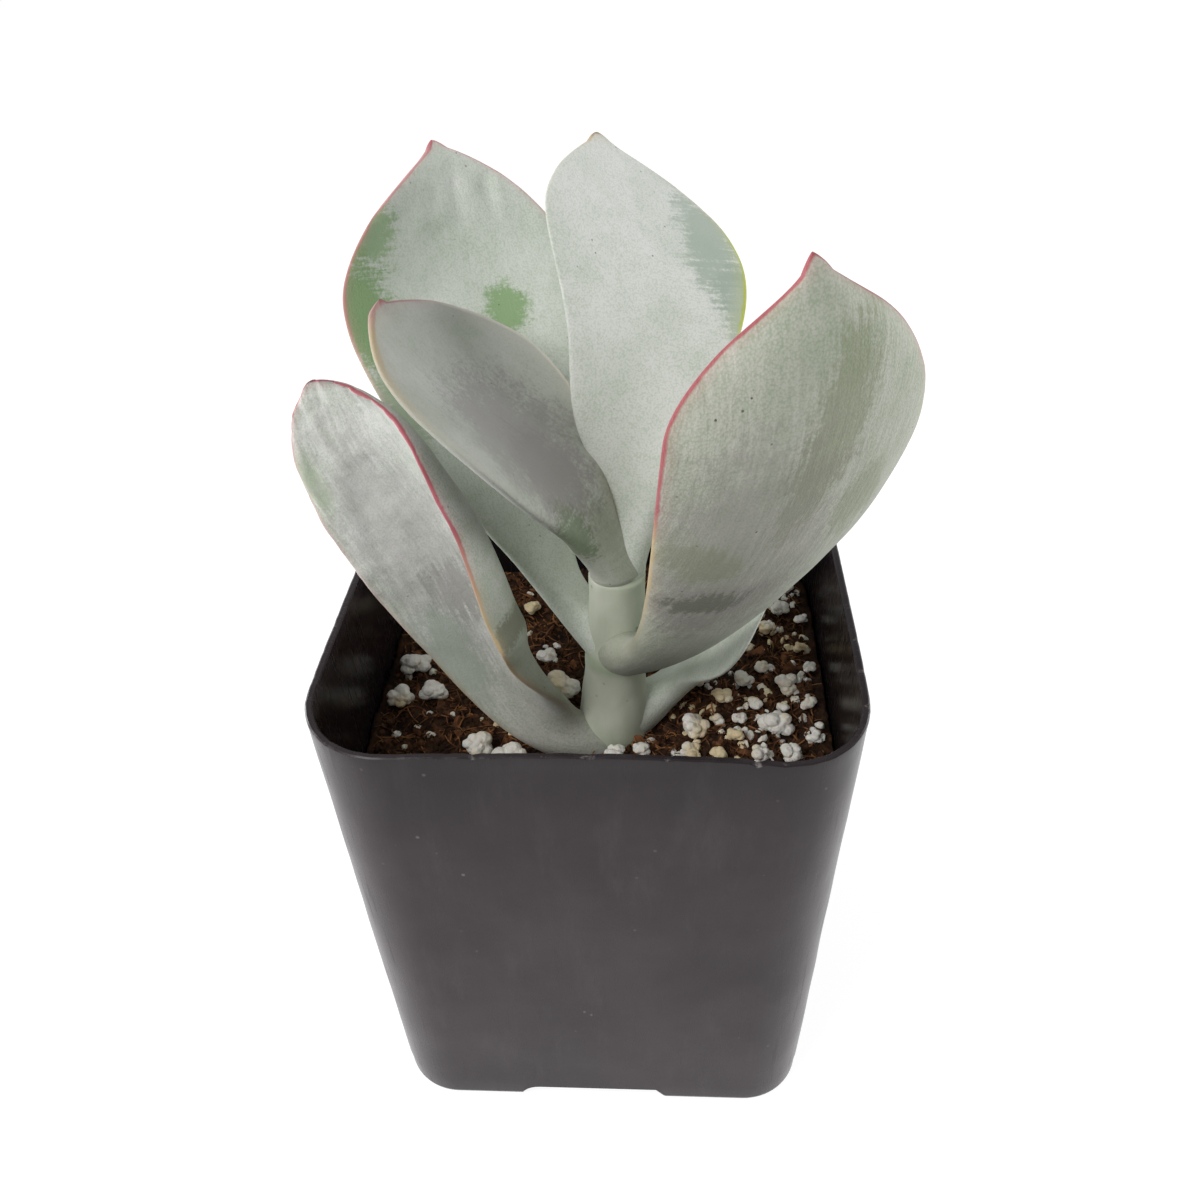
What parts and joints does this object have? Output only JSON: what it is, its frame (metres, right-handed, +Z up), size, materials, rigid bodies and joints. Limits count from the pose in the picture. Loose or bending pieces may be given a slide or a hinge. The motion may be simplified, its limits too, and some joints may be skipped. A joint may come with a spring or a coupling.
{
  "type": "potted succulent",
  "caption": "Young succulent with thick bloom-covered paddle leaves on a short stem, rooted in soil strewn with perlite in a small square plastic nursery pot.",
  "frame": {"origin": "under the middle of the whole plant's bounding box, on the surface that the pot stands on", "axes": "+Z up; the pot's sides lie along X and Y, the stem stands nearer the -Y side, and the leaf with the widest reach leans toward +X and -Y"},
  "size_m": [0.0596, 0.0614, 0.1085],
  "materials": {
    "pot": "thin moulded black-brown polypropylene, satin, with a worn pale rim and dusty scuffs",
    "soil": "dark brown peat and bark potting mix, crumbly and fibrous, damp",
    "stem": "young fleshy stem, green under a pale powdery bloom",
    "leaf": "fleshy leaf, grey-green under a white powdery bloom that is rubbed green in places, with a pink to crimson margin",
    "perlite": "expanded volcanic glass, off-white, chalky and pitted"
  },
  "bodies": {
    "root": {"nursery_pot": "pot", "potting_soil": "soil", "stem": "stem", "leaf_lower_left": "leaf", "leaf_lower_back": "leaf", "leaf_middle_back": "leaf", "leaf_middle_right": "leaf", "leaf_upper_left": "leaf", "leaf_upper_back": "leaf", "perlite_01": "perlite", "perlite_02": "perlite", "perlite_03": "perlite", "perlite_04": "perlite", "perlite_05": "perlite", "perlite_06": "perlite", "perlite_07": "perlite", "perlite_08": "perlite", "perlite_09": "perlite", "perlite_10": "perlite", "perlite_11": "perlite", "perlite_12": "perlite", "perlite_13": "perlite", "perlite_14": "perlite", "perlite_15": "perlite", "perlite_16": "perlite", "perlite_17": "perlite", "perlite_18": "perlite", "perlite_19": "perlite", "perlite_20": "perlite", "perlite_21": "perlite", "perlite_22": "perlite", "perlite_23": "perlite", "perlite_24": "perlite", "perlite_25": "perlite", "perlite_26": "perlite", "perlite_27": "perlite", "perlite_28": "perlite", "perlite_29": "perlite", "perlite_30": "perlite", "perlite_31": "perlite", "perlite_32": "perlite", "perlite_33": "perlite", "perlite_34": "perlite", "perlite_35": "perlite", "perlite_36": "perlite", "perlite_37": "perlite", "perlite_38": "perlite", "perlite_39": "perlite", "perlite_40": "perlite", "perlite_41": "perlite", "perlite_42": "perlite", "perlite_43": "perlite", "perlite_44": "perlite", "perlite_45": "perlite"}
  },
  "joints": []
}
